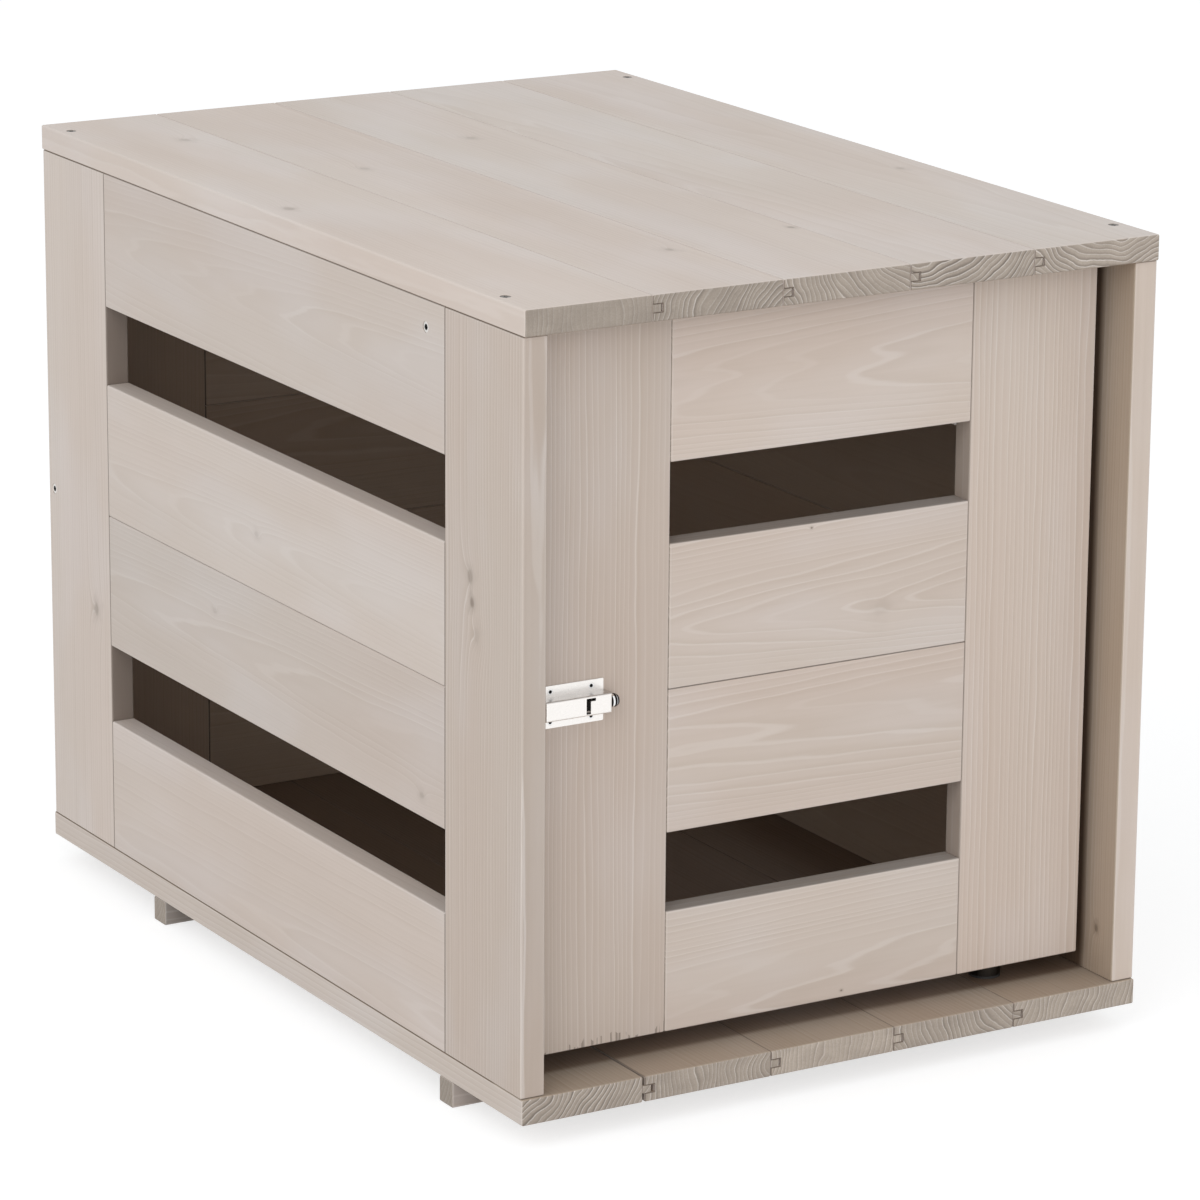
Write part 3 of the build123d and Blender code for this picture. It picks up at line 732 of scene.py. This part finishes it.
for name in ("latch_plate", "latch_housing"):
    finish_node(name, latch_zinc)
finish_node("latch_bolt", make_bolt_chrome())
finish_node("latch_screws", screw_heads(
    "latch_screw", "latch_screws", flat=(0, 2), head=0.0046, bright=CHROME_LIGHT, core=0.0015,
    every_corner=True,
))
finish_node("wall_screws", screw_heads(
    "wall_screw", "wall_screws", flat=(1, 2), head=0.009, bright=SCREW_RIM, core=0.0025,
    every_corner=False,
))
finish_node("pivot_shaft", black_shaft)
for name in ("floor_pivot_bush", "roof_pivot_bush"):
    finish_node(name, black_bush)
for name in ("roof_screws", "base_screws", "roof_batten_screws", "foot_screws", "pivot_screws"):
    finish_node(name, screw_steel)
for name in ("left_wall_dowels", "right_wall_dowels", "back_wall_dowels", "door_dowels"):
    finish_node(name, beech)


# Studio

SKY_LIGHT = (0.95, 0.98, 1.0, 1.0)
FLOOR_GREY = (0.8, 0.8, 0.8, 1.0)
FLOOR_SHADED = (0.45, 0.45, 0.45, 1.0)

# What the camera, a mirror or glass sees is white; what lights the house is a cool grey sky
world = bpy.data.worlds.new("studio")
bpy.context.scene.world = world
world.use_nodes = True
sky = world.node_tree
sky.nodes.clear()
lit = node(sky, "Background", {"Color": SKY_LIGHT, "Strength": 0.76})
shown = node(sky, "Background", {"Color": WHITE, "Strength": 1.0})
both = node(sky, "MixShader", {0: seen_directly(sky), 1: lit.outputs[0], 2: shown.outputs[0]})
node(sky, "OutputWorld", {"Surface": both.outputs[0]})


def make_floor():
    """A wide pale floor that looks white and keeps the house's shadow."""
    reach = 20.0
    mesh = bpy.data.meshes.new("studio_floor")
    corners = [(x * reach, y * reach, 0.0) for x, y in ((-1, -1), (1, -1), (1, 1), (-1, 1))]
    mesh.from_pydata(corners, [], [(0, 1, 2, 3)])
    floor = bpy.data.objects.new("studio_floor", mesh)
    bpy.context.scene.collection.objects.link(floor)
    material, tree, principled = new_material("studio_floor")
    tree.nodes.remove(principled)
    plain = node(tree, "BsdfDiffuse", {"Color": FLOOR_GREY})
    pale = node(tree, "BsdfDiffuse", {"Color": FLOOR_SHADED})
    white = node(tree, "Emission", {"Color": WHITE, "Strength": 0.66})
    shadowed = node(tree, "AddShader", {0: pale.outputs[0], 1: white.outputs[0]})
    seen = seen_directly(tree)
    surface = node(tree, "MixShader", {0: seen, 1: plain.outputs[0], 2: shadowed.outputs[0]})
    output = next(n for n in tree.nodes if n.type == "OUTPUT_MATERIAL")
    tree.links.new(surface.outputs[0], output.inputs["Surface"])
    mesh.materials.append(material)


make_floor()


def softbox(name, place, size, power, colour):
    """A square lamp that faces the middle of the house; its power is in watts."""
    lamp = bpy.data.lights.new(name, "AREA")
    lamp.shape = "SQUARE"
    lamp.size = size
    lamp.energy = power
    lamp.color = colour
    holder = bpy.data.objects.new(name, lamp)
    holder.location = place
    aim = house_middle - Vector(place)
    holder.rotation_euler = aim.to_track_quat("-Z", "Y").to_euler()
    bpy.context.scene.collection.objects.link(holder)


house_middle = Vector((0.0, 0.0, 0.35))
softbox("left_softbox", (-4.4, -2.4, 3.6), size=5.0, power=120.0, colour=(1.0, 1.0, 1.0))
softbox("front_softbox", (-0.5, -5.5, 1.6), size=4.0, power=60.0, colour=(1.0, 0.93, 0.90))


# Camera, at the photograph's angle

camera_place = (-2.3765, -4.0602, 1.6158)
camera_angles = (30.632, 15.477, 0.433)
focal_length = 166.97
sensor_width = 36.0
azimuth, elevation, roll = (math.radians(angle) for angle in camera_angles)
forward = Vector((
    math.sin(azimuth) * math.cos(elevation),
    math.cos(azimuth) * math.cos(elevation),
    -math.sin(elevation),
))
level = forward.cross(Vector(UPRIGHT)).normalized()
overhead = level.cross(forward)
right_way = level * math.cos(roll) + overhead * math.sin(roll)
up_way = overhead * math.cos(roll) - level * math.sin(roll)
lens = bpy.data.cameras.new("camera")
lens.lens = focal_length
lens.sensor_width = sensor_width
lens.clip_end = 100.0
camera = bpy.data.objects.new("camera", lens)
turn = Matrix((right_way, up_way, -forward)).transposed().to_4x4()
camera.matrix_world = Matrix.Translation(camera_place) @ turn
bpy.context.scene.collection.objects.link(camera)
bpy.context.scene.camera = camera
bpy.context.scene.view_settings.view_transform = "Standard"
